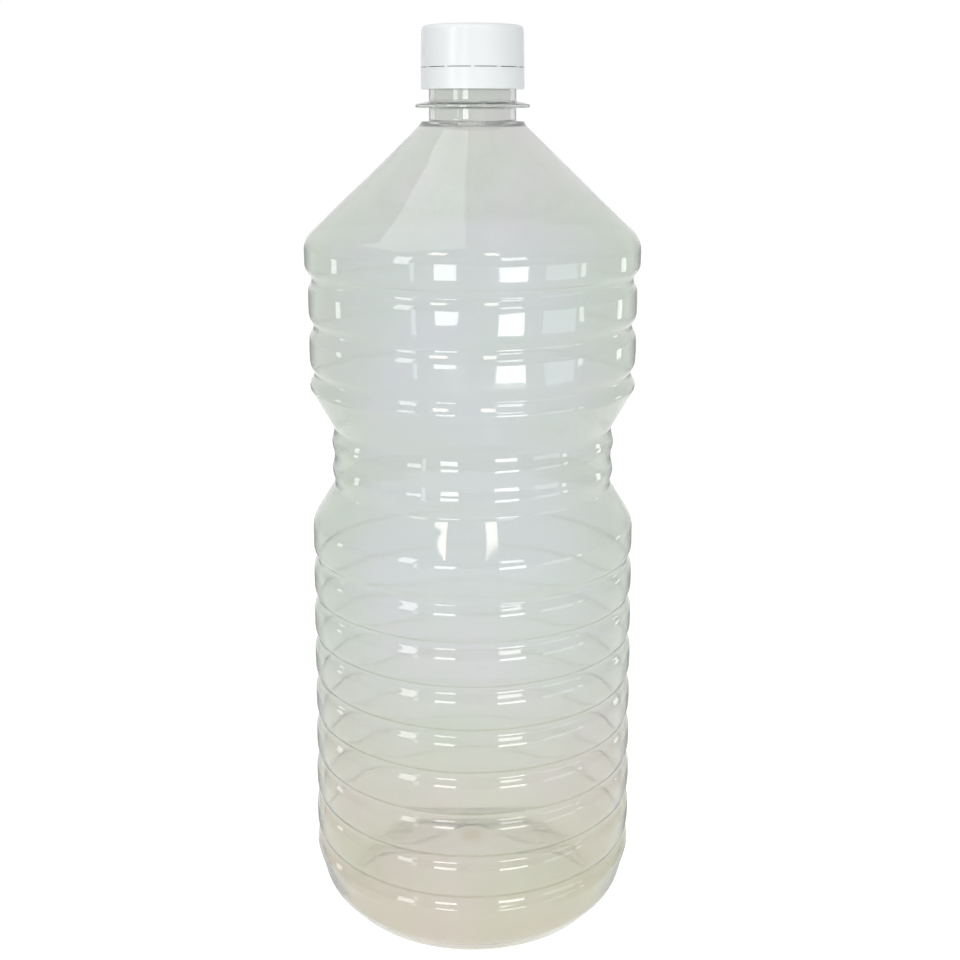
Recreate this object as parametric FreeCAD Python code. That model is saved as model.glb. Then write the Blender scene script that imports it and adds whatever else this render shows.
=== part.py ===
"""Empty 1.5 litre drink bottle in clear plastic with its white screw closure.

The bottle is a body of revolution with a thin wall. From the ground up it has a pushed-up base, a lower body
with eight sunk rings, a narrow grip with two beads, an upper body with three sunk rings, a cone and a neck.
The closure is one moulding: a cap and, under a slit, a tamper band that hangs on small bridges.
Millimetres, +Z up, origin on the standing plane under the middle of the bottle.
"""
import FreeCAD, Part
import math
import os

# Plastic
WALL = 0.35  # blown wall of the body
BASE_WALL = 1.0  # thicker wall of the pushed-up base, where little stretching takes place

# Base
FOOT_RADIUS = 39.7  # middle of the ring that the bottle stands on
FOOT_WIDTH = 3.2
PUSH_UP = 13.5  # height of the base's middle above the ground
GATE_RADIUS = 6.0  # flat middle of the base
STEP_RADIUS = 25.0  # where the dome of the base turns down to the foot
STEP_HEIGHT = 7.0
GATE_ROUNDING = 3.0
STEP_ROUNDING = 6.0
FOOT_INNER_ROUNDING = 2.0
FOOT_OUTER_ROUNDING = 3.5
SPOKES = 8  # radial ribs that stiffen the dome
SPOKE_RADIUS = 2.0
SPOKE_START = 11.0  # distance of a spoke's inner end from the axis
SPOKE_END = 33.0
HEEL_HEIGHT = 16.8  # from the ground up to the straight wall
HEEL_TUCK = 2.9  # how far the heel's lower corner lies inside the wall
HEEL_CORNER_HEIGHT = 6.5
HEEL_CORNER_ROUNDING = 9.0
HEEL_TOP_ROUNDING = 4.0

# Lower body
LOWER_RADIUS = 49.8  # at the heel
LOWER_DRAFT = 1.2  # how much narrower the lower body is at its top
LOWER_RINGS = 8
LOWER_PITCH = 12.95
FIRST_RING_RISE = 4.3  # from the heel's top to the middle of the lowest ring
TOP_BAND = 11.0  # plain band above the highest sunk ring
TOP_BAND_ROUNDING = 5.0

# Grip
GRIP_RADIUS = 41.7
GRIP_HEIGHT = 18.0
GRIP_BEADS = 2
GRIP_PITCH = 8.3
BEAD_HEIGHT = 0.8  # how far a bead stands out
BEAD_WIDTH = 6.0
BEAD_CROWN_ROUNDING = 2.5
BEAD_FOOT_ROUNDING = 1.0
GRIP_LOW_ROUNDING = 1.5
GRIP_TOP_ROUNDING = 3.0
LOWER_SLOPE_RISE = 11.0  # grip down to the lower body
UPPER_SLOPE_RISE = 12.0  # grip up to the upper body

# Upper body
UPPER_RADIUS = 48.4
SHOULDER_RADIUS = 49.2  # widest ring, under the cone
UPPER_RINGS = 3
UPPER_PITCH = 14.1
FIRST_UPPER_RISE = 4.0  # from the slope's top to the middle of the first ring
SHOULDER_BAND = 11.0  # plain band above the highest sunk ring
UPPER_ROUNDING = 1.2
SHOULDER_ROUNDING = 7.0

# Sunk rings of both bodies
RING_DEPTH = 1.7
RING_WIDTH = 5.4
RING_FLOOR_ROUNDING = 1.4
RING_LIP_ROUNDING = 1.1

# Cone and neck
CONE_ANGLE = 43.3  # between the cone's wall and the ground
NECK_RADIUS = 12.45
NECK_WALL = 1.6
NECK_BELOW_FLANGE = 3.7
LEDGE_REACH = 2.85  # moulded step where the blown cone meets the neck, measured out from the neck
LEDGE_HEIGHT = 1.2
FLANGE_REACH = 3.85  # carrying ring, measured out from the neck
FLANGE_THICKNESS = 1.4
FLANGE_SLOPE = 0.9  # how far the flange's upper face falls towards its edge
RIM_HEIGHT = 21.2  # from the flange's underside up to the rim
STOP_REACH = 0.95  # bead that holds the tamper band back, measured out from the neck
STOP_HEIGHT = 8.0  # from the flange's underside up to the middle of that bead
STOP_WIDTH = 2.2
THROAT_ROUNDING = 2.0  # inside, where the cone turns into the bore
LEDGE_ROUNDING = 0.5
FLANGE_ROUNDING = 0.3
STOP_ROUNDING = 0.2
RIM_ROUNDING = 0.4
BORE_RADIUS = NECK_RADIUS - NECK_WALL
LEDGE_RADIUS = NECK_RADIUS + LEDGE_REACH
FLANGE_RADIUS = NECK_RADIUS + FLANGE_REACH
STOP_RADIUS = NECK_RADIUS + STOP_REACH

# Closure
STOP_PLAY = 0.3  # between the neck's bead and the closure's skirt
CAP_SKIRT = 1.1
CAP_DRAFT = 0.3  # how much narrower the closure is at its top
CAP_TOP = 1.4
CAP_EDGE_ROUNDING = 1.5
BAND_BELOW_STOP = 1.8  # how far the band reaches below the neck's bead
BAND_HEIGHT = 5.9
SLIT = 0.2  # height of the slit between the cap and its band
BRIDGES = 12
BRIDGE_WIDTH = 1.0
LIP_PLAY = 0.3  # between the band's inner lip and the neck
LIP_HEIGHT = 1.0
PLUG_PLAY = 0.1  # between the sealing plug and the bore
PLUG_WALL = 0.9
PLUG_DEPTH = 2.6
BAND_ROUNDING = 0.2
PLUG_ROUNDING = 0.4

FULL_TURN = 360.0
SMALLEST_ROUNDING = 0.1  # left in a corner whose rounding the wall's thickness eats up
STRAIGHT_ON = math.radians(0.2)  # a corner that turns less than this needs no rounding


def stack_heights():
    """Heights of the sections' borders above the ground, from the bottom up."""
    z = {"heel": HEEL_HEIGHT}
    z["first_ring"] = z["heel"] + FIRST_RING_RISE
    z["lower_top"] = z["first_ring"] + (LOWER_RINGS - 1) * LOWER_PITCH + TOP_BAND
    z["grip"] = z["lower_top"] + LOWER_SLOPE_RISE
    z["grip_top"] = z["grip"] + GRIP_HEIGHT
    z["upper"] = z["grip_top"] + UPPER_SLOPE_RISE
    z["first_upper"] = z["upper"] + FIRST_UPPER_RISE
    z["shoulder"] = z["first_upper"] + (UPPER_RINGS - 1) * UPPER_PITCH + SHOULDER_BAND
    cone_rise = (SHOULDER_RADIUS - LEDGE_RADIUS) * math.tan(math.radians(CONE_ANGLE))
    z["cone_top"] = z["shoulder"] + cone_rise
    z["neck"] = z["cone_top"] + LEDGE_HEIGHT
    z["flange"] = z["neck"] + NECK_BELOW_FLANGE
    z["rim"] = z["flange"] + RIM_HEIGHT
    z["stop"] = z["flange"] + STOP_HEIGHT
    z["band"] = z["stop"] - STOP_WIDTH / 2 - BAND_BELOW_STOP
    z["slit"] = z["band"] + BAND_HEIGHT
    return z


Z = stack_heights()


# Outlines are lists of corners (radius, height, rounding), followed with the inside of the bottle on the left.


def sunk_ring(radius_at, middle):
    """Corners of one V-shaped ring sunk into a wall whose radius is radius_at(height)."""
    low = middle - RING_WIDTH / 2
    high = middle + RING_WIDTH / 2
    return [
        (radius_at(low), low, RING_LIP_ROUNDING),
        (radius_at(middle) - RING_DEPTH, middle, RING_FLOOR_ROUNDING),
        (radius_at(high), high, RING_LIP_ROUNDING),
    ]


def base_corners():
    """From the middle of the base out over the dome and the foot."""
    foot_inside = FOOT_RADIUS - FOOT_WIDTH / 2
    foot_outside = FOOT_RADIUS + FOOT_WIDTH / 2
    return [
        (0, PUSH_UP, 0),
        (GATE_RADIUS, PUSH_UP, GATE_ROUNDING),
        (STEP_RADIUS, STEP_HEIGHT, STEP_ROUNDING),
        (foot_inside, 0, FOOT_INNER_ROUNDING),
        (foot_outside, 0, FOOT_OUTER_ROUNDING),
        (LOWER_RADIUS - HEEL_TUCK, HEEL_CORNER_HEIGHT, HEEL_CORNER_ROUNDING),
        (LOWER_RADIUS, Z["heel"], HEEL_TOP_ROUNDING),
    ]


def lower_body_corners():
    """The straight, slightly drafted wall with its sunk rings."""

    def radius_at(height):
        share = (height - Z["heel"]) / (Z["lower_top"] - Z["heel"])
        return LOWER_RADIUS - LOWER_DRAFT * share

    corners = []
    for ring in range(LOWER_RINGS):
        corners += sunk_ring(radius_at, Z["first_ring"] + ring * LOWER_PITCH)
    corners.append((radius_at(Z["lower_top"]), Z["lower_top"], TOP_BAND_ROUNDING))
    return corners


def grip_corners():
    """The narrow grip with its beads, between the two slopes."""
    corners = [(GRIP_RADIUS, Z["grip"], GRIP_LOW_ROUNDING)]
    middle = (Z["grip"] + Z["grip_top"]) / 2
    for bead in range(GRIP_BEADS):
        height = middle + (bead - (GRIP_BEADS - 1) / 2) * GRIP_PITCH
        corners += [
            (GRIP_RADIUS, height - BEAD_WIDTH / 2, BEAD_FOOT_ROUNDING),
            (GRIP_RADIUS + BEAD_HEIGHT, height, BEAD_CROWN_ROUNDING),
            (GRIP_RADIUS, height + BEAD_WIDTH / 2, BEAD_FOOT_ROUNDING),
        ]
    corners.append((GRIP_RADIUS, Z["grip_top"], GRIP_TOP_ROUNDING))
    return corners


def upper_body_corners():
    """The upper body with its sunk rings and the wider shoulder ring on top."""

    def radius_at(height):
        highest = Z["first_upper"] + (UPPER_RINGS - 1) * UPPER_PITCH
        return SHOULDER_RADIUS if height > highest else UPPER_RADIUS

    corners = [(UPPER_RADIUS, Z["upper"], UPPER_ROUNDING)]
    for ring in range(UPPER_RINGS):
        corners += sunk_ring(radius_at, Z["first_upper"] + ring * UPPER_PITCH)
    corners.append((SHOULDER_RADIUS, Z["shoulder"], SHOULDER_ROUNDING))
    return corners


def neck_corners():
    """The neck's outside from the cone up, with the carrying flange and the bead for the tamper band."""
    flange_top = Z["flange"] + FLANGE_THICKNESS
    stop = Z["stop"]
    return [
        (LEDGE_RADIUS, Z["cone_top"], LEDGE_ROUNDING),
        (LEDGE_RADIUS - LEDGE_HEIGHT / 2, Z["neck"], LEDGE_ROUNDING),
        (NECK_RADIUS, Z["neck"], LEDGE_ROUNDING),
        (NECK_RADIUS, Z["flange"], FLANGE_ROUNDING),
        (FLANGE_RADIUS, Z["flange"], FLANGE_ROUNDING),
        (FLANGE_RADIUS, flange_top - FLANGE_SLOPE / 2, FLANGE_ROUNDING),
        (NECK_RADIUS, flange_top + FLANGE_SLOPE / 2, FLANGE_ROUNDING),
        (NECK_RADIUS, stop - STOP_WIDTH / 2, STOP_ROUNDING),
        (STOP_RADIUS, stop - STOP_WIDTH / 4, STOP_ROUNDING),
        (NECK_RADIUS, stop + STOP_WIDTH / 2, STOP_ROUNDING),
        (NECK_RADIUS, Z["rim"], RIM_ROUNDING),
    ]


def wall_corners():
    """The blown wall's outside, from the middle of the base up to the neck."""
    return base_corners() + lower_body_corners() + grip_corners() + upper_body_corners()


def inset(corners, thicknesses):
    """The same outline moved to its left, each side by its own thickness, with its roundings kept parallel."""
    lines = []
    for (r0, z0, _), (r1, z1, _), thick in zip(corners, corners[1:], thicknesses):
        length = math.hypot(r1 - r0, z1 - z0)
        along = ((r1 - r0) / length, (z1 - z0) / length)
        lines.append((r0 - along[1] * thick, z0 + along[0] * thick, along))
    moved = [(corners[0][0], lines[0][1], 0)]
    for (r0, z0, a), (r1, z1, b), corner, thick in zip(lines, lines[1:], corners[1:], thicknesses):
        turn = a[0] * b[1] - a[1] * b[0]
        if abs(turn) < math.sin(STRAIGHT_ON):
            moved.append((r1, z1, 0))
            continue
        reach = ((r1 - r0) * b[1] - (z1 - z0) * b[0]) / turn
        rounding = max(corner[2] - math.copysign(thick, turn), SMALLEST_ROUNDING)
        moved.append((r0 + a[0] * reach, z0 + a[1] * reach, rounding))
    return moved


def rounded_line(corners):
    """Edges through the corners, each rounded corner as an arc that is tangent to both its sides."""
    points = [FreeCAD.Vector(r, 0, z) for r, z, _ in corners]
    edges = []
    start = points[0]
    for before, corner, after, (_, _, rounding) in zip(points, points[1:], points[2:], corners[1:]):
        to_before = (before - corner).normalize()
        to_after = (after - corner).normalize()
        half_angle = to_before.getAngle(to_after) / 2
        if rounding == 0 or math.pi - 2 * half_angle < STRAIGHT_ON:
            leave, arrive = corner, corner
        else:
            reach = rounding / math.tan(half_angle)
            arrive = corner + to_before * reach
            leave = corner + to_after * reach
        if (arrive - start).Length > Part.Vertex(start).Tolerance:
            edges.append(Part.LineSegment(start, arrive).toShape())
        if arrive != leave:
            inward = (to_before + to_after).normalize()
            middle = corner + inward * (rounding / math.sin(half_angle) - rounding)
            edges.append(Part.Arc(arrive, middle, leave).toShape())
        start = leave
    edges.append(Part.LineSegment(start, points[-1]).toShape())
    return edges


def revolved(edges):
    """The solid that a closed outline in the XZ plane sweeps round the Z axis."""
    outline = Part.Wire(Part.sortEdges(edges)[0])
    origin = FreeCAD.Vector(0, 0, 0)
    return Part.Face(outline).revolve(origin, FreeCAD.Vector(0, 0, 1), FULL_TURN)


def closed_on_axis(edges, low, high):
    """The edges of a half section with the piece of axis between two heights that closes it."""
    axis = Part.LineSegment(FreeCAD.Vector(0, 0, low), FreeCAD.Vector(0, 0, high))
    return edges + [axis.toShape()]


def dome_height(radius):
    """Height of the dome's outer side, without its roundings, at a distance from the axis."""
    corners = base_corners()
    for (r0, z0, _), (r1, z1, _) in zip(corners, corners[1:]):
        if r0 <= radius <= r1:
            return z0 + (z1 - z0) * (radius - r0) / (r1 - r0)


def spokes(radius):
    """Round bars that lie along the dome's outer side, evenly turned about the axis."""
    inner = FreeCAD.Vector(SPOKE_START, 0, dome_height(SPOKE_START))
    outer = FreeCAD.Vector(SPOKE_END, 0, dome_height(SPOKE_END))
    run = outer - inner
    down = FreeCAD.Vector(0, 0, -run.Length / 2)
    bar = Part.makeCylinder(radius, run.Length, inner, run)
    ends = [Part.makeSphere(radius, inner, down - run), Part.makeSphere(radius, outer, down + run)]
    bar = bar.fuse(ends).removeSplitter()
    bars = []
    for number in range(SPOKES):
        turned = bar.copy()
        turned.rotate(FreeCAD.Vector(0, 0, 0), FreeCAD.Vector(0, 0, 1), number * FULL_TURN / SPOKES)
        bars.append(turned)
    return bars


def blown_wall():
    """The plain shell: outside and inside outlines joined at the rim and closed on the axis."""
    outside = wall_corners() + neck_corners()
    outside.append((BORE_RADIUS, Z["rim"], 0))
    thicknesses = [WALL if radius > FOOT_RADIUS else BASE_WALL for radius, _, _ in wall_corners()]
    inside = inset(wall_corners() + [(LEDGE_RADIUS, Z["cone_top"], 0)], thicknesses)
    cone_start = inside[-1]
    rise = (cone_start[0] - BORE_RADIUS) * math.tan(math.radians(CONE_ANGLE))
    inside.append((BORE_RADIUS, cone_start[1] + rise, THROAT_ROUNDING))
    inside.append((BORE_RADIUS, Z["rim"], 0))
    edges = rounded_line(outside) + rounded_line(inside)
    return revolved(closed_on_axis(edges, outside[0][1], inside[0][1]))


def filled_base():
    """The base as if it were solid, with its surface in the middle of the base's wall."""
    corners = base_corners() + [(LOWER_RADIUS, Z["first_ring"], 0)]
    surface = inset(corners, [BASE_WALL / 2] * len(base_corners()))
    surface.append((0, surface[-1][1], 0))
    return revolved(closed_on_axis(rounded_line(surface), surface[-1][1], surface[0][1]))


def bottle():
    """The blown wall with the spokes pressed into its dome, as one thin-walled solid."""
    humps = filled_base().common(spokes(SPOKE_RADIUS + BASE_WALL))
    return blown_wall().fuse(humps).cut(spokes(SPOKE_RADIUS))


def closure_corners():
    """Half section of the closure, from the middle of its top down the outside and back up the inside."""
    seat = Z["rim"]
    top = seat + CAP_TOP
    low = Z["band"]
    inner = STOP_RADIUS + STOP_PLAY
    outer = inner + CAP_SKIRT
    lip = NECK_RADIUS + LIP_PLAY
    plug = BORE_RADIUS - PLUG_PLAY
    return [
        (0, top, 0),
        (outer - CAP_DRAFT, top, CAP_EDGE_ROUNDING),
        (outer, low, BAND_ROUNDING),
        (lip, low, BAND_ROUNDING),
        (lip, low + LIP_HEIGHT, BAND_ROUNDING),
        (inner, low + 2 * LIP_HEIGHT, BAND_ROUNDING),
        (inner, seat, PLUG_ROUNDING),
        (plug, seat, 0),
        (plug, seat - PLUG_DEPTH, PLUG_ROUNDING),
        (plug - PLUG_WALL, seat - PLUG_DEPTH, PLUG_ROUNDING),
        (plug - PLUG_WALL, seat, PLUG_ROUNDING),
        (0, seat, 0),
    ]


def slit_with_bridges():
    """The ring of material that is missing between the cap and its band."""
    low = Z["slit"]
    inner = STOP_RADIUS
    outer = inner + STOP_PLAY + 2 * CAP_SKIRT
    base = FreeCAD.Vector(0, 0, low)
    ring = Part.makeCylinder(outer, SLIT, base).cut(Part.makeCylinder(inner, SLIT, base))
    corner = FreeCAD.Vector(0, -BRIDGE_WIDTH / 2, low)
    bridge = Part.makeBox(outer, BRIDGE_WIDTH, SLIT, corner)
    for number in range(BRIDGES):
        turned = bridge.copy()
        turned.rotate(FreeCAD.Vector(0, 0, 0), FreeCAD.Vector(0, 0, 1), number * FULL_TURN / BRIDGES)
        ring = ring.cut(turned)
    return ring


def closure():
    """Cap and tamper band as the one piece that they are until the bottle is opened."""
    corners = closure_corners()
    edges = closed_on_axis(rounded_line(corners), corners[-1][1], corners[0][1])
    return revolved(edges).cut(slit_with_bridges())


os.makedirs("parts", exist_ok=True)
bottle().exportStep("parts/bottle.step")
closure().exportStep("parts/closure.step")
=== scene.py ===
"""Looks of the empty clear plastic bottle with its white closure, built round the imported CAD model.

The blown bottle is lathed again here with more points than the CAD mesh has, so that its real
wall bends light smoothly, and with the small unevenness of blown plastic. The CAD closure stays
and gets its material. Lengths of the bottle are millimetres until MM turns them into Blender's
metres; materials, lamps, floor and camera are in metres.
"""
import math

import bpy
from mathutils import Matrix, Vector, noise

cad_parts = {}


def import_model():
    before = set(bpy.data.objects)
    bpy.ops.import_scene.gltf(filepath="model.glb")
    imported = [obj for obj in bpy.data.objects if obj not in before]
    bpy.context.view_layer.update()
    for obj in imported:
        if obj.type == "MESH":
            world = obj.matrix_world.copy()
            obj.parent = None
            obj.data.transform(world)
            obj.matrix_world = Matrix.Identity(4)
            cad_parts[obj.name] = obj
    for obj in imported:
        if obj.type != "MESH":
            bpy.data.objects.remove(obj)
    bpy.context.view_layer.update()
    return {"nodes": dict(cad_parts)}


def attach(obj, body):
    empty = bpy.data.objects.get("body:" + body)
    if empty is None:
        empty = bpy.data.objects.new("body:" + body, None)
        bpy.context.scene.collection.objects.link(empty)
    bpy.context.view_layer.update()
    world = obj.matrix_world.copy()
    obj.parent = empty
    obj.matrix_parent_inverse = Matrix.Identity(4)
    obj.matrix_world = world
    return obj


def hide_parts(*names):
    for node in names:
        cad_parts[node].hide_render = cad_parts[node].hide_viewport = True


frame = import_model()

MM = 0.001

# Fineness of the lathed shell
SEGMENTS = 104  # round the axis; rows of the dome with its spokes have twice as many
ARC_STEP = math.radians(11)  # largest turn between two points of a rounding
LONGEST_RUN = 2.6  # between two points of a straight stretch
SUPPORT = 0.3  # plain strip beside each rounding, which keeps the flat beside it flat
STRAIGHT_ON = 0.004  # a corner that turns less than this, in radians, is no corner
ON_AXIS = 0.01  # a row closer to the axis than this is one point

# Sizes of the bottle, as in the CAD source
WALL = 0.35
FOOT_RADIUS = 39.7
FOOT_WIDTH = 3.2
PUSH_UP = 13.5
GATE_RADIUS = 6.0
STEP_RADIUS = 25.0
STEP_HEIGHT = 7.0
SPOKES = 8
SPOKE_RADIUS = 2.0
SPOKE_START = 11.0
SPOKE_END = 33.0
HEEL = 16.8
HEEL_TUCK = 2.9
HEEL_CORNER_HEIGHT = 6.5
LOWER_RADIUS = 49.8
LOWER_DRAFT = 1.2
LOWER_RINGS = 8
LOWER_PITCH = 12.95
FIRST_RING_RISE = 4.3
TOP_BAND = 11.0
GRIP_RADIUS = 41.7
GRIP_HEIGHT = 18.0
GRIP_BEADS = 2
GRIP_PITCH = 8.3
BEAD_HEIGHT = 0.8
BEAD_WIDTH = 6.0
LOWER_SLOPE_RISE = 11.0
UPPER_SLOPE_RISE = 12.0
UPPER_RADIUS = 48.4
SHOULDER_RADIUS = 49.2
UPPER_RINGS = 3
UPPER_PITCH = 14.1
FIRST_UPPER_RISE = 4.0
SHOULDER_BAND = 11.0
RING_DEPTH = 1.7
RING_WIDTH = 5.4
CONE_ANGLE = 43.3
LEDGE_RADIUS = 15.3
LEDGE_HEIGHT = 1.2
NECK_RADIUS = 12.45
NECK_BELOW_FLANGE = 3.7
BORE_RADIUS = 10.85
FLANGE_RADIUS = 16.3
FLANGE_THICKNESS = 1.4
FLANGE_SLOPE = 0.9
RIM_HEIGHT = 21.2
STOP_RADIUS = 13.4
STOP_HEIGHT = 8.0
STOP_WIDTH = 2.2

# Sizes of the scene alone: the base's wall is thinner than in the CAD source, and roundings
# are softer where the looks ask for it
BASE_WALL = 0.5
GATE_ROUNDING = 6.0
STEP_ROUNDING = 10.0
FOOT_INNER_ROUNDING = 2.0
FOOT_OUTER_ROUNDING = 3.5
HEEL_CORNER_ROUNDING = 9.0
HEEL_TOP_ROUNDING = 4.0
RING_FLOOR_ROUNDING = 2.6
RING_LIP_ROUNDING = 3.8
LOWEST_LIP_ROUNDING = 2.2  # the lowest ring of each part lies close to the corner below it
TOP_BAND_ROUNDING = 5.0
GRIP_LOW_ROUNDING = 1.5
GRIP_TOP_ROUNDING = 3.0
BEAD_CROWN_ROUNDING = 4.5
BEAD_FOOT_ROUNDING = 7.0
UPPER_ROUNDING = 1.2
SHOULDER_ROUNDING = 7.0
LEDGE_ROUNDING = 0.5
LEDGE_TOP_ROUNDING = 0.6
FLANGE_ROUNDING = 0.3
FLANGE_EDGE_ROUNDING = 0.25
STOP_FOOT_ROUNDING = 0.2
STOP_CROWN_ROUNDING = 0.3
RIM_ROUNDING = 0.4
THROAT_RADIUS = 14.8  # from here up the wall thickens towards the neck
THROAT_RISE = 0.9  # from the cone's top up to the corner where the bore begins
THROAT_ROUNDING = 1.0

# Heights above the ground, from the bottom up
FIRST_RING = HEEL + FIRST_RING_RISE
LOWER_TOP = FIRST_RING + (LOWER_RINGS - 1) * LOWER_PITCH + TOP_BAND
GRIP = LOWER_TOP + LOWER_SLOPE_RISE
GRIP_TOP = GRIP + GRIP_HEIGHT
UPPER = GRIP_TOP + UPPER_SLOPE_RISE
FIRST_UPPER = UPPER + FIRST_UPPER_RISE
LAST_UPPER = FIRST_UPPER + (UPPER_RINGS - 1) * UPPER_PITCH
SHOULDER = LAST_UPPER + SHOULDER_BAND
CONE_TOP = SHOULDER + (SHOULDER_RADIUS - LEDGE_RADIUS) * math.tan(math.radians(CONE_ANGLE))
NECK = CONE_TOP + LEDGE_HEIGHT
FLANGE = NECK + NECK_BELOW_FLANGE
RIM = FLANGE + RIM_HEIGHT

# Unevenness of blown plastic; what changes the radius lowers it, so the shell stays in the box
EVEN_RADIUS = LEDGE_RADIUS + 1  # the moulded neck inside this radius is even
UNEVENNESS_FADE = 8.0  # distance over which the unevenness sets in
BAND_CROWN = 0.14  # how far a band's edges lie behind its middle
WAVE_DEPTH = 0.34
WAVE_LENGTH = 24.0
RIPPLE_DEPTH = 0.10
RIPPLE_LENGTH = 8.5
RIPPLE_SHIFT = Vector((7, 3, 5))
RING_SWAY = 0.35  # how far a sunk ring wanders up and down
SWAY_LENGTH = 30.0
SWAY_STRETCH = 0.7
SWAY_SHIFT = Vector((11, 2, 9))
SWAY_FADE = 6.0

# Spokes of the base, softened as blowing leaves them
SPOKE_SOFTENING = 0.2  # share of a spoke's height that is left
SPOKE_SPREAD = 2.2  # how much wider a spoke's foot is than the spoke
SPOKE_CEILING = PUSH_UP + 2  # no spoke lies above this height
DOME_START = SPOKE_START - 4  # between these radii the base has twice as many segments
DOME_END = SPOKE_END + 3

# Thread of the neck
THREAD_RISE = 11.2  # from the flange up to its start
THREAD_PITCH = 2.7
THREAD_TURNS = 2.1
THREAD_DEPTH = 0.95
THREAD_SINK = 0.05  # how far its root lies in the neck
THREAD_FOOT = 1.5
THREAD_CREST = 0.6
THREAD_FADE = 0.06  # share of its length over which it grows from each end
THREAD_STEPS = 150

# Clear plastic: colours by height and by how squarely the wall is seen, with painted light on the top
# and painted shade along the silhouette; lengths in metres
FRONT_LOW = (0.769, 0.703, 0.652, 1)
FRONT_HIGH = (0.770, 0.769, 0.803, 1)
SIDE_LOW = (0.69, 0.64, 0.545, 1)
SIDE_HIGH = (0.668, 0.695, 0.605, 1)
WARM_TOP = 0.088  # the warm tint of the lower body ends here
# painted light: the top of the bottle gets a lighter colour in place of its brighter lit look
CONE_PAINTED_LIGHT_COLOUR = (0.80, 0.785, 0.785, 1)
CONE_PAINTED_LIGHT_HEIGHTS = (0.198, 0.236)  # heights between which the shoulder, cone and neck blend to a lighter colour, painted light that brightens the top
SIDE_FACING = (0.05, 0.75)
# Painted shade along the silhouette: the wall darkens where it turns away from the eye; a little of
# it is the longer path through the wall, most stands in for the darker room seen at grazing angles
RIM_SHADE_FACING = (0.68, 0.88)
UPRIGHT_LEAN = (0.12, 0.45)  # a wall that leans more than this gets less of the painted shade along the silhouette
LEANING_OUTLINE_SHADE = 0.15
OUTLINE_SHADE_TINT = (0.68, 0.70, 0.64, 1)
BLOTCH_TINT = (0.955, 1.015, 0.945, 1)
BLOTCH_RANGE = (0.35, 0.65)
BLOTCH_SCALE = 28.0
GATE_COLOUR = (0.62, 0.53, 0.42, 1)
GATE_MARK = (0.0048, 0.0015)  # distances from the gate where its mark begins and is full
GLOSS_SCALE = 70.0
GLOSS_RANGE = (0.35, 0.7)
CLEAR_ROUGHNESS = (0.02, 0.09)
DIMPLE_SCALE = 75.0
DIMPLE_STRENGTH = 0.35
DIMPLE_DEPTH = 0.0003
CLEAR_IOR = 1.57
VEIL_COLOUR = (0.84, 0.86, 0.86, 1)
# painted shade: the veil turns dark along the silhouette
VEIL_OUTLINE_SHADE_COLOUR = (0.22, 0.25, 0.20, 1)
VEIL_AND_OUTLINE_SHADE_COVER = (0.08, 0.66)  # at the front, and along the silhouette where the dark veil is painted shade
SHADOW_COLOUR = (0.95, 0.96, 0.96, 1)
INSIDE_COLOUR = (0.55, 0.62, 0.58, 1)
INSIDE_DENSITY = 28.0

# White plastic
CAP_COLOURS = ((0.795, 0.825, 0.82, 1), (0.82, 0.84, 0.86, 1))
CAP_CLOUD_SCALE = 55.0
CAP_ROUGHNESS = (0.23, 0.27)
CAP_GRAIN_SCALE = 1800.0
CAP_GRAIN_STRENGTH = 0.15
CAP_GRAIN_DEPTH = 0.0001
CAP_IOR = 1.5
CAP_SUBSURFACE = 0.35
CAP_SUBSURFACE_DEPTH = 0.002

# Floor and room
FLOOR_HALF = 6.0
FLOOR_DROP = 0.0003
FLOOR_GREY = (0.40, 0.40, 0.40, 1)  # with the glow it shows white and keeps the shadow
FLOOR_GLOW = 0.86
FLOOR_PLAIN = (0.8, 0.8, 0.8, 1)  # as it lights the bottle
ROOM_COLOUR = (0.95, 0.97, 1.0, 1)
ROOM_STRENGTH = 0.44

# Lamps: azimuth in degrees from the viewer's side, positive to the right, then metres
LAMP_AIM = 0.3  # lamps above this height tilt down to it
WHITE = (1, 1, 1)
CREAM = (1, 0.93, 0.82)
SKY = (0.80, 0.97, 1)
LAMPS = [
    # name, azimuth, height, distance, width, tall, radiance, colour
    ("window_left", -46, 0.40, 0.70, 0.14, 0.32, 5.0, WHITE),
    ("window_middle", -18, 0.183, 0.70, 0.17, 0.165, 7.5, WHITE),
    ("window_right", 26, 0.07, 0.70, 0.22, 0.14, 8.5, WHITE),
    ("window_right_top", 27, 0.50, 0.70, 0.20, 0.16, 6.0, WHITE),
    ("lamp_left", -28, 0.80, 0.60, 0.13, 0.16, 8.0, CREAM),
    ("lamp_right", 15, 0.80, 0.60, 0.12, 0.16, 8.0, CREAM),
    ("ceiling", -80, 1.00, 0.36, 0.55, 0.65, 1.1, WHITE),
    ("panel_left", -38, 0.16, 0.72, 0.04, 0.28, 2.4, SKY),
    ("panel_right", 59, 0.08, 0.72, 0.30, 0.16, 1.8, SKY),
    ("glint_left", -102, 0.12, 0.70, 0.07, 0.10, 3.5, WHITE),
    ("glint_right", 76, 0.12, 0.70, 0.05, 0.10, 4.0, WHITE),
    ("glint_back", 118, 0.10, 0.70, 0.08, 0.08, 3.0, WHITE),
]

# Camera
EYE = (0, -0.390, 0.2437)
LOOK_DOWN = 13.1
LENS = 49.875
SENSOR = 36.0
SHIFT_X = 0.0077
SHIFT_Y = -0.065


def lower_radius(height):
    return LOWER_RADIUS - LOWER_DRAFT * (height - HEEL) / (LOWER_TOP - HEEL)


def upper_radius(height):
    return SHOULDER_RADIUS if height > LAST_UPPER else UPPER_RADIUS


def ring_heights():
    """Heights of the sunk rings' middles, of the lower and of the upper body."""
    lower = [FIRST_RING + ring * LOWER_PITCH for ring in range(LOWER_RINGS)]
    upper = [FIRST_UPPER + ring * UPPER_PITCH for ring in range(UPPER_RINGS)]
    return lower, upper


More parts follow.
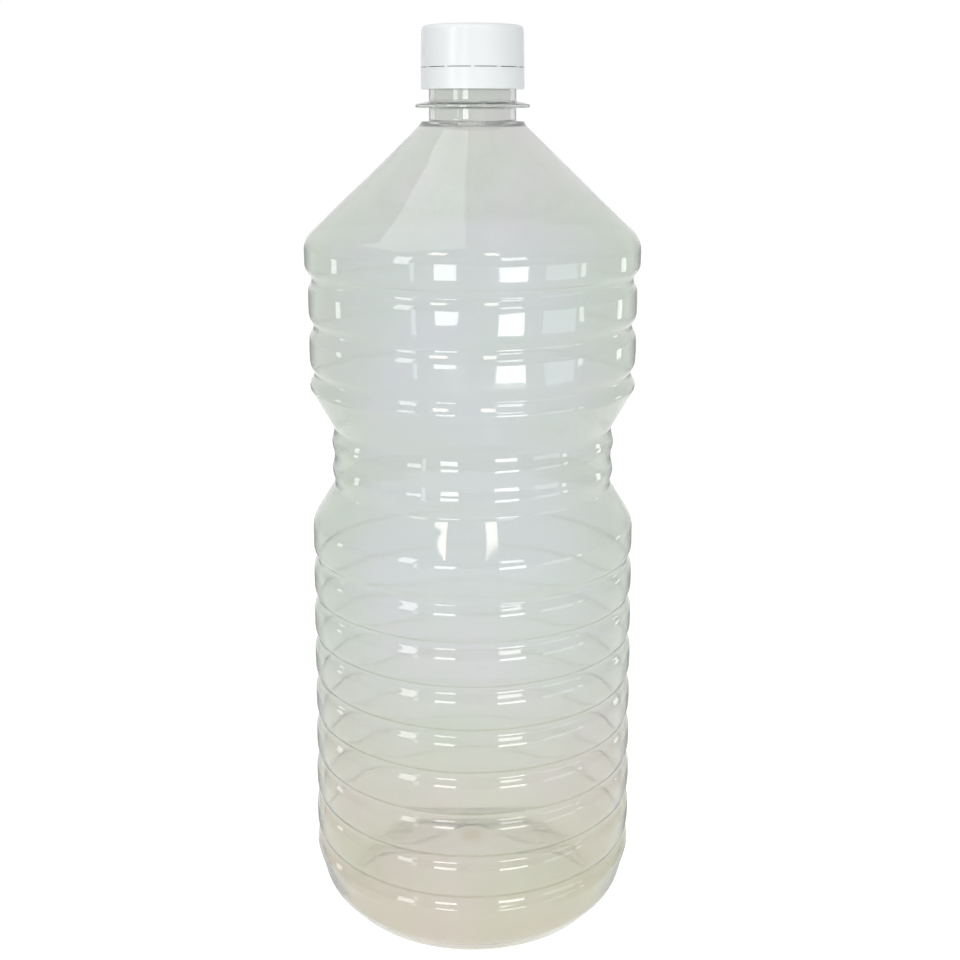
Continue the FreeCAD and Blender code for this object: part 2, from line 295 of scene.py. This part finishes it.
def sunk_ring(radius_at, middle, lowest):
    """Corners (radius, height, rounding) of one sunk ring; lowest says that it is the first."""
    low = middle - RING_WIDTH / 2
    high = middle + RING_WIDTH / 2
    return [
        (radius_at(low), low, LOWEST_LIP_ROUNDING if lowest else RING_LIP_ROUNDING),
        (radius_at(middle) - RING_DEPTH, middle, RING_FLOOR_ROUNDING),
        (radius_at(high), high, RING_LIP_ROUNDING),
    ]


def base_corners():
    return [
        (0, PUSH_UP, 0),
        (GATE_RADIUS, PUSH_UP, GATE_ROUNDING),
        (STEP_RADIUS, STEP_HEIGHT, STEP_ROUNDING),
        (FOOT_RADIUS - FOOT_WIDTH / 2, 0, FOOT_INNER_ROUNDING),
        (FOOT_RADIUS + FOOT_WIDTH / 2, 0, FOOT_OUTER_ROUNDING),
        (LOWER_RADIUS - HEEL_TUCK, HEEL_CORNER_HEIGHT, HEEL_CORNER_ROUNDING),
        (LOWER_RADIUS, HEEL, HEEL_TOP_ROUNDING),
    ]


def body_corners():
    lower, upper = ring_heights()
    corners = []
    for height in lower:
        corners += sunk_ring(lower_radius, height, height == FIRST_RING)
    corners.append((lower_radius(LOWER_TOP), LOWER_TOP, TOP_BAND_ROUNDING))
    corners.append((GRIP_RADIUS, GRIP, GRIP_LOW_ROUNDING))
    middle = (GRIP + GRIP_TOP) / 2
    for bead in range(GRIP_BEADS):
        height = middle + (bead - (GRIP_BEADS - 1) / 2) * GRIP_PITCH
        corners += [
            (GRIP_RADIUS, height - BEAD_WIDTH / 2, BEAD_FOOT_ROUNDING),
            (GRIP_RADIUS + BEAD_HEIGHT, height, BEAD_CROWN_ROUNDING),
            (GRIP_RADIUS, height + BEAD_WIDTH / 2, BEAD_FOOT_ROUNDING),
        ]
    corners.append((GRIP_RADIUS, GRIP_TOP, GRIP_TOP_ROUNDING))
    corners.append((UPPER_RADIUS, UPPER, UPPER_ROUNDING))
    for height in upper:
        corners += sunk_ring(upper_radius, height, height == FIRST_UPPER)
    corners.append((SHOULDER_RADIUS, SHOULDER, SHOULDER_ROUNDING))
    return corners


def neck_corners():
    flange_top = FLANGE + FLANGE_THICKNESS
    stop = FLANGE + STOP_HEIGHT
    return [
        (LEDGE_RADIUS, CONE_TOP, LEDGE_ROUNDING),
        (LEDGE_RADIUS - LEDGE_HEIGHT / 2, NECK, LEDGE_TOP_ROUNDING),
        (NECK_RADIUS, NECK, LEDGE_ROUNDING),
        (NECK_RADIUS, FLANGE, FLANGE_ROUNDING),
        (FLANGE_RADIUS, FLANGE, FLANGE_ROUNDING),
        (FLANGE_RADIUS, flange_top - FLANGE_SLOPE / 2, FLANGE_EDGE_ROUNDING),
        (NECK_RADIUS, flange_top + FLANGE_SLOPE / 2, FLANGE_ROUNDING),
        (NECK_RADIUS, stop - STOP_WIDTH / 2, STOP_FOOT_ROUNDING),
        (STOP_RADIUS, stop - STOP_WIDTH / 4, STOP_CROWN_ROUNDING),
        (NECK_RADIUS, stop + STOP_WIDTH / 2, STOP_FOOT_ROUNDING),
        (NECK_RADIUS, RIM, RIM_ROUNDING),
        (BORE_RADIUS, RIM, 0),
    ]


def straight_points(start, end):
    """Points after start up to end, with a short strip at both ends and no long run."""
    length = (end - start).length
    if length < 3 * SUPPORT:
        return [end]
    count = math.ceil((length - 2 * SUPPORT) / LONGEST_RUN)
    along = (end - start) / length
    first = start + along * SUPPORT
    step = along * ((length - 2 * SUPPORT) / count)
    return [first + step * i for i in range(count + 1)] + [end]


def rounded_points(corners):
    """Points (radius, height) along the outline through the corners, with its roundings."""
    points = [Vector((r, z)) for r, z, _ in corners]
    line = [points[0]]
    roundings = [rounding for _, _, rounding in corners[1:]]
    for before, corner, after, rounding in zip(points, points[1:], points[2:], roundings):
        to_before = (before - corner).normalized()
        to_after = (after - corner).normalized()
        half_angle = to_before.angle(to_after) / 2
        turn = math.pi - 2 * half_angle
        if rounding == 0 or turn < STRAIGHT_ON:
            line += straight_points(line[-1], corner)
            continue
        reach = rounding / math.tan(half_angle)
        arrive = corner + to_before * reach
        leave = corner + to_after * reach
        line += straight_points(line[-1], arrive)
        inward = (to_before + to_after).normalized()
        centre = corner + inward * (rounding / math.sin(half_angle))
        first = arrive - centre
        last = leave - centre
        count = max(2, math.ceil(turn / ARC_STEP))
        for i in range(1, count):
            share = i / count
            swung = first * math.sin((1 - share) * turn) + last * math.sin(share * turn)
            line.append(centre + swung / math.sin(turn))
        line.append(leave)
    line += straight_points(line[-1], points[-1])
    return line


def outward_normals(line):
    """Unit vectors square to the outline, to its right, which is out of the plastic."""
    normals = []
    for i, point in enumerate(line):
        before = line[max(i - 1, 0)]
        after = line[min(i + 1, len(line) - 1)]
        along = (after - before).normalized()
        normals.append(Vector((along.y, -along.x)))
    return normals


def wall_at(height):
    """Thickness of the wall: thick in the base, thin from the heel up."""
    share = (height - HEEL_CORNER_HEIGHT) / (HEEL - HEEL_CORNER_HEIGHT)
    share = min(max(share, 0), 1)
    share = share * share * (3 - 2 * share)
    return BASE_WALL + (WALL - BASE_WALL) * share


def crown(height):
    """How far a band between two sunk rings falls back at this height."""
    for rings in ring_heights():
        for below, above in zip(rings, rings[1:]):
            low = below + RING_WIDTH / 2
            high = above - RING_WIDTH / 2
            if low < height < high:
                share = 2 * (height - low) / (high - low) - 1
                return BAND_CROWN * share * share
            if below <= height <= above:
                return BAND_CROWN
    return 0


def unevenness(angle, radius, height):
    """How far the blown wall lies inside its nominal radius."""
    if radius < EVEN_RADIUS or height < HEEL_CORNER_HEIGHT:
        return 0
    place = Vector((radius * math.cos(angle), radius * math.sin(angle), height))
    wave = 0.5 + 0.5 * noise.noise(place / WAVE_LENGTH)
    ripple = 0.5 + 0.5 * noise.noise(place / RIPPLE_LENGTH + RIPPLE_SHIFT)
    fade = min((radius - EVEN_RADIUS) / UNEVENNESS_FADE,
               (height - HEEL_CORNER_HEIGHT) / UNEVENNESS_FADE, 1)
    return fade * (WAVE_DEPTH * wave + RIPPLE_DEPTH * ripple + crown(height))


def sway(angle, radius, height):
    """How far a point of the straight body is moved up or down."""
    fade = min(max(height - HEEL, 0) / SWAY_FADE, max(SHOULDER - height, 0) / SWAY_FADE, 1)
    place = Vector((radius * math.cos(angle), radius * math.sin(angle), height * SWAY_STRETCH))
    return fade * RING_SWAY * noise.noise(place / SWAY_LENGTH + SWAY_SHIFT)


def spoke_lift(angle, radius, spoke_radius):
    """How far a softened spoke of this radius lifts the base's surface here."""
    reach = spoke_radius * SPOKE_SPREAD
    if not SPOKE_START - reach < radius < SPOKE_END + reach:
        return 0
    turn = 2 * math.pi / SPOKES
    off = (angle + turn / 2) % turn - turn / 2
    side = radius * math.sin(off)
    along = radius * math.cos(off)
    past = max(SPOKE_START - along, along - SPOKE_END, 0)
    share = min(math.hypot(side, past) / reach, 1)
    return SPOKE_SOFTENING * SPOKE_RADIUS * (1 - share * share) ** 2


def segments_at(point):
    dome = DOME_START < point.x < DOME_END and point.y < PUSH_UP
    return 2 * SEGMENTS if dome else SEGMENTS


def shell_rows():
    """Rows of the lathed shell from the middle of the base out, up to the rim and back inside.

    A row is (point, direction out of the plastic, radius of the spokes there, segments), and a
    point is (radius, height).
    """
    wall = base_corners() + body_corners()
    outside = rounded_points(wall + neck_corners())
    rows = [(point, normal, SPOKE_RADIUS, segments_at(point))
            for point, normal in zip(outside, outward_normals(outside))]
    line = rounded_points(wall + [(LEDGE_RADIUS, CONE_TOP, 0)])
    inner = [(point - normal * wall_at(point.y), normal, SPOKE_RADIUS + BASE_WALL,
              segments_at(point)) for point, normal in zip(line, outward_normals(line))]
    inner = [row for row in inner if row[0].y < SHOULDER or row[0].x > THROAT_RADIUS]
    start = inner[-1][0]
    throat = [(start.x, start.y, 0), (BORE_RADIUS, CONE_TOP + THROAT_RISE, THROAT_ROUNDING),
              (BORE_RADIUS, RIM, 0)]
    inner += [(point, Vector((1, 0)), 0, SEGMENTS) for point in rounded_points(throat)[1:-1]]
    return rows + inner[::-1]


def shell_point(row, angle):
    """One vertex of the shell, with its unevenness and the spokes of the base."""
    point, normal, spoke_radius, _ = row
    radius = point.x - unevenness(angle, point.x, point.y)
    height = point.y + sway(angle, point.x, point.y)
    if point.y < SPOKE_CEILING:
        lift = spoke_lift(angle, point.x, spoke_radius)
        radius -= normal.x * lift
        height -= normal.y * lift
    return (radius * math.cos(angle) * MM, radius * math.sin(angle) * MM, height * MM)


def joined(first, second, first_count, second_count):
    """Faces between two neighbouring rows; one may have twice as many vertices as the other."""
    if first_count == 1:
        return [(first, second + (i + 1) % second_count, second + i)
                for i in range(second_count)]
    if second_count == 1:
        return [(second, first + i, first + (i + 1) % first_count) for i in range(first_count)]
    faces = []
    count = min(first_count, second_count)
    for i in range(count):
        j = (i + 1) % count
        if first_count == second_count:
            faces.append((first + i, first + j, second + j, second + i))
        elif first_count < second_count:
            a, b, c = [second + (2 * i + step) % second_count for step in range(3)]
            faces += [(first + i, b, a), (first + i, first + j, b), (first + j, c, b)]
        else:
            a, b, c = [first + (2 * i + step) % first_count for step in range(3)]
            faces += [(a, b, second + i), (b, second + j, second + i), (b, c, second + j)]
    return faces


def mesh_piece(name, vertices, faces, material):
    """A smooth mesh that rides on the part's body."""
    mesh = bpy.data.meshes.new(name)
    mesh.from_pydata(vertices, [], faces)
    mesh.polygons.foreach_set("use_smooth", [True] * len(mesh.polygons))
    mesh.update()
    piece = bpy.data.objects.new(name, mesh)
    bpy.context.scene.collection.objects.link(piece)
    mesh.materials.append(material)
    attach(piece, "root")
    return piece


def blown_shell(material):
    """The bottle's wall as one closed surface."""
    rows = shell_rows()
    vertices = []
    starts = []
    counts = []
    for row in rows:
        starts.append(len(vertices))
        if row[0].x < ON_AXIS:
            counts.append(1)
            vertices.append((0, 0, row[0].y * MM))
            continue
        count = row[3]
        counts.append(count)
        vertices += [shell_point(row, 2 * math.pi * i / count) for i in range(count)]
    faces = []
    for i in range(len(rows) - 1):
        faces += joined(starts[i], starts[i + 1], counts[i], counts[i + 1])
    shell = mesh_piece("blown_shell", vertices, faces, material)
    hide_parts("bottle")


def neck_thread(material):
    """The single thread of the neck, hidden under the cap."""
    root = NECK_RADIUS - THREAD_SINK
    crest = NECK_RADIUS + THREAD_DEPTH
    vertices = []
    for i in range(THREAD_STEPS + 1):
        share = i / THREAD_STEPS
        angle = 2 * math.pi * THREAD_TURNS * share
        height = FLANGE + THREAD_RISE + THREAD_PITCH * THREAD_TURNS * share
        fade = min(share, 1 - share, THREAD_FADE) / THREAD_FADE
        top = root + (crest - root) * fade
        section = [(root, -THREAD_FOOT / 2), (top, -THREAD_CREST / 2),
                   (top, THREAD_CREST / 2), (root, THREAD_FOOT / 2)]
        vertices += [(r * math.cos(angle) * MM, r * math.sin(angle) * MM, (height + dz) * MM)
                     for r, dz in section]
    faces = []
    for i in range(THREAD_STEPS):
        for k in range(4):
            a, b = 4 * i + k, 4 * i + (k + 1) % 4
            faces.append((a, b, b + 4, a + 4))
    faces += [(3, 2, 1, 0), tuple(4 * THREAD_STEPS + k for k in range(4))]
    mesh_piece("neck_thread", vertices, faces, material)


class Nodes:
    """Short way to add and link the nodes of one shader tree."""

    def __init__(self, tree):
        self.tree = tree
        tree.nodes.clear()

    def add(self, kind, **inputs):
        """New node; the name of an input has underscores for its spaces."""
        node = self.tree.nodes.new(kind)
        for name, value in inputs.items():
            self.put(node.inputs[name.replace("_", " ")], value)
        return node

    def put(self, socket, value):
        """Link the socket to another, or give it a value."""
        if isinstance(value, bpy.types.NodeSocket):
            self.tree.links.new(value, socket)
        else:
            socket.default_value = value

    def ramp(self, value, source, target=(0.0, 1.0), smooth=False):
        """Value taken from the range source to the range target."""
        node = self.add("ShaderNodeMapRange", Value=value)
        if smooth:
            node.interpolation_type = "SMOOTHSTEP"
        node.inputs["From Min"].default_value, node.inputs["From Max"].default_value = source
        node.inputs["To Min"].default_value, node.inputs["To Max"].default_value = target
        return node.outputs["Result"]

    def maths(self, operation, first, second=0.0):
        node = self.add("ShaderNodeMath")
        node.operation = operation
        self.put(node.inputs[0], first)
        self.put(node.inputs[1], second)
        return node.outputs[0]

    def mixed(self, factor, low, high, blend="MIX"):
        """Colour between low and high, or low times high with the blend MULTIPLY."""
        node = self.add("ShaderNodeMix")
        node.data_type = "RGBA"
        node.blend_type = blend
        self.put(node.inputs[0], factor)
        self.put(node.inputs[6], low)
        self.put(node.inputs[7], high)
        return node.outputs[2]

    def tinted(self, colour, tint):
        return self.mixed(1.0, colour, tint, blend="MULTIPLY")

    def both(self, factor, first, second):
        """Shader between the first and the second."""
        node = self.add("ShaderNodeMixShader", Fac=factor)
        self.put(node.inputs[1], first.outputs[0])
        self.put(node.inputs[2], second.outputs[0])
        return node


def new_material(name):
    material = bpy.data.materials.new(name)
    material.use_nodes = True
    return material, Nodes(material.node_tree)


def outline_shade_share(n, facing, normal):
    """1 where an upright wall turns away from the eye: the share of painted shade along the
    silhouette.
    """
    lean = n.add("ShaderNodeSeparateXYZ", Vector=normal).outputs["Z"]
    upright = n.ramp(n.maths("ABSOLUTE", lean), UPRIGHT_LEAN, (1.0, LEANING_OUTLINE_SHADE))
    return n.maths("MULTIPLY", n.ramp(facing, RIM_SHADE_FACING), upright)


def clear_colour(n, place, facing, outline_shade):
    """Colour of the clear plastic by place and facing: painted light on the top, painted shade along
    the silhouette, and the gate's mark in the middle of the base.
    """
    height = n.add("ShaderNodeSeparateXYZ", Vector=place).outputs["Z"]
    rise = n.ramp(height, (0.0, WARM_TOP))
    front = n.mixed(rise, FRONT_LOW, FRONT_HIGH)
    side = n.mixed(rise, SIDE_LOW, SIDE_HIGH)
    plain = n.mixed(n.ramp(facing, SIDE_FACING, smooth=True), front, side)
    # painted light: higher up the colour blends to the lighter top colour
    plain = n.mixed(n.ramp(height, CONE_PAINTED_LIGHT_HEIGHTS), plain, CONE_PAINTED_LIGHT_COLOUR)
    # painted shade: the colour darkens along the silhouette
    plain = n.mixed(outline_shade, plain, n.tinted(plain, OUTLINE_SHADE_TINT))
    patches = n.add("ShaderNodeTexNoise", Vector=place, Scale=BLOTCH_SCALE, Detail=2.0)
    blotch = n.ramp(patches.outputs["Fac"], BLOTCH_RANGE)
    plain = n.mixed(blotch, plain, n.tinted(plain, BLOTCH_TINT))
    gate = n.add("ShaderNodeVectorMath")
    gate.operation = "DISTANCE"
    n.put(gate.inputs[0], place)
    n.put(gate.inputs[1], (0, 0, PUSH_UP * MM))
    return n.mixed(n.ramp(gate.outputs["Value"], GATE_MARK), plain, GATE_COLOUR)


def clear_plastic():
    """Thin clear plastic with a faint veil and uneven gloss, darker along its silhouette: a little
    from the longer path through the wall, mostly painted shade.
    """
    material, n = new_material("clear_plastic")
    out = n.add("ShaderNodeOutputMaterial")
    coordinates = n.add("ShaderNodeTexCoord")
    place = coordinates.outputs["Object"]
    facing = n.add("ShaderNodeLayerWeight", Blend=0.5).outputs["Facing"]
    outline_shade = outline_shade_share(n, facing, coordinates.outputs["Normal"])

    cloud = n.add("ShaderNodeTexNoise", Vector=place, Scale=GLOSS_SCALE, Detail=3.0)
    rough = n.ramp(cloud.outputs["Fac"], GLOSS_RANGE, CLEAR_ROUGHNESS)
    dimples = n.add("ShaderNodeTexNoise", Vector=place, Scale=DIMPLE_SCALE, Detail=1.0)
    bump = n.add("ShaderNodeBump", Height=dimples.outputs["Fac"], Strength=DIMPLE_STRENGTH,
                 Distance=DIMPLE_DEPTH)
    glass = n.add("ShaderNodeBsdfPrincipled", Roughness=rough, Normal=bump.outputs["Normal"],
                  Base_Color=clear_colour(n, place, facing, outline_shade), IOR=CLEAR_IOR,
                  Transmission_Weight=1.0)

    # the veil is the plastic's faint haze; along the silhouette it turns dark and covers more,
    # painted shade
    veil_and_outline_shade_colour = n.mixed(outline_shade, VEIL_COLOUR, VEIL_OUTLINE_SHADE_COLOUR)
    haze_and_outline_shade = n.add("ShaderNodeBsdfTranslucent", Color=veil_and_outline_shade_colour)
    dust_and_outline_shade = n.add("ShaderNodeBsdfDiffuse", Color=veil_and_outline_shade_colour)
    veil = n.both(0.5, haze_and_outline_shade, dust_and_outline_shade)
    body = n.both(n.ramp(outline_shade, (0.0, 1.0), VEIL_AND_OUTLINE_SHADE_COVER), glass, veil)

    see_through = n.add("ShaderNodeBsdfTransparent", Color=SHADOW_COLOUR)
    shadow = n.add("ShaderNodeLightPath").outputs["Is Shadow Ray"]
    n.put(out.inputs["Surface"], n.both(shadow, body, see_through).outputs[0])
    absorb = n.add("ShaderNodeVolumeAbsorption", Color=INSIDE_COLOUR, Density=INSIDE_DENSITY)
    n.put(out.inputs["Volume"], absorb.outputs[0])
    return material


def white_plastic():
    """Satin white plastic that lets a little light in."""
    material, n = new_material("white_plastic")
    out = n.add("ShaderNodeOutputMaterial")
    place = n.add("ShaderNodeTexCoord").outputs["Object"]
    patches = n.add("ShaderNodeTexNoise", Vector=place, Scale=CAP_CLOUD_SCALE, Detail=1.0)
    cloud = patches.outputs["Fac"]
    grain = n.add("ShaderNodeTexNoise", Vector=place, Scale=CAP_GRAIN_SCALE, Detail=2.0)
    bump = n.add("ShaderNodeBump", Height=grain.outputs["Fac"], Strength=CAP_GRAIN_STRENGTH,
                 Distance=CAP_GRAIN_DEPTH)
    satin = n.add("ShaderNodeBsdfPrincipled", Base_Color=n.mixed(cloud, *CAP_COLOURS),
                  Roughness=n.ramp(cloud, (0.0, 1.0), CAP_ROUGHNESS),
                  Normal=bump.outputs["Normal"], IOR=CAP_IOR,
                  Subsurface_Weight=CAP_SUBSURFACE, Subsurface_Radius=(1.0, 1.0, 1.0),
                  Subsurface_Scale=CAP_SUBSURFACE_DEPTH)
    n.put(out.inputs["Surface"], satin.outputs[0])
    return material


def seen_directly(n):
    """1 for rays that show a surface: from the camera, in a gloss or through clear plastic."""
    path = n.add("ShaderNodeLightPath").outputs
    first = n.maths("MAXIMUM", path["Is Camera Ray"], path["Is Glossy Ray"])
    return n.maths("MAXIMUM", first, path["Is Transmission Ray"])


def floor():
    """Pale floor that keeps the bottle's soft shadow and shows white."""
    mesh = bpy.data.meshes.new("floor")
    corners = [(-1, -1), (1, -1), (1, 1), (-1, 1)]
    mesh.from_pydata([(x * FLOOR_HALF, y * FLOOR_HALF, -FLOOR_DROP) for x, y in corners],
                     [], [(0, 1, 2, 3)])
    piece = bpy.data.objects.new("floor", mesh)
    bpy.context.scene.collection.objects.link(piece)
    material, n = new_material("floor")
    out = n.add("ShaderNodeOutputMaterial")
    matte = n.add("ShaderNodeBsdfDiffuse", Color=FLOOR_GREY)
    glow = n.add("ShaderNodeEmission", Color=(1, 1, 1, 1), Strength=FLOOR_GLOW)
    shown = n.add("ShaderNodeAddShader")
    n.put(shown.inputs[0], matte.outputs[0])
    n.put(shown.inputs[1], glow.outputs[0])
    plain = n.add("ShaderNodeBsdfDiffuse", Color=FLOOR_PLAIN)
    n.put(out.inputs["Surface"], n.both(seen_directly(n), plain, shown).outputs[0])
    mesh.materials.append(material)


def world():
    """A grey room that lights the bottle, and white where it is seen."""
    sky = bpy.data.worlds.new("studio")
    bpy.context.scene.world = sky
    sky.use_nodes = True
    n = Nodes(sky.node_tree)
    out = n.add("ShaderNodeOutputWorld")
    room = n.add("ShaderNodeBackground", Color=ROOM_COLOUR, Strength=ROOM_STRENGTH)
    white = n.add("ShaderNodeBackground", Color=(1, 1, 1, 1), Strength=1.0)
    n.put(out.inputs["Surface"], n.both(seen_directly(n), room, white).outputs[0])


def lamp(name, azimuth, height, distance, width, tall, radiance, colour):
    """A soft lamp that faces the bottle and shows only in its gloss."""
    turn = math.radians(azimuth)
    data = bpy.data.lights.new(name, "AREA")
    data.shape = "RECTANGLE"
    data.size = width
    data.size_y = tall
    data.energy = radiance * math.pi * width * tall
    data.color = colour
    holder = bpy.data.objects.new(name, data)
    bpy.context.scene.collection.objects.link(holder)
    holder.location = (distance * math.sin(turn), -distance * math.cos(turn), height)
    tilt = math.atan2(max(height - LAMP_AIM, 0), distance)
    holder.rotation_euler = (math.radians(90) - tilt, 0, turn)
    holder.visible_camera = False
    holder.visible_transmission = False


def camera():
    data = bpy.data.cameras.new("camera")
    data.sensor_width = SENSOR
    data.lens = LENS
    data.shift_x = SHIFT_X
    data.shift_y = SHIFT_Y
    eye = bpy.data.objects.new("camera", data)
    bpy.context.scene.collection.objects.link(eye)
    eye.location = EYE
    eye.rotation_euler = (math.radians(90 - LOOK_DOWN), 0, 0)
    bpy.context.scene.camera = eye


clear = clear_plastic()
blown_shell(clear)
neck_thread(clear)
cap = frame["nodes"]["closure"]
cap.data.materials.clear()
cap.data.materials.append(white_plastic())
floor()
world()
for values in LAMPS:
    lamp(*values)
camera()
bpy.context.scene.view_settings.view_transform = "Standard"
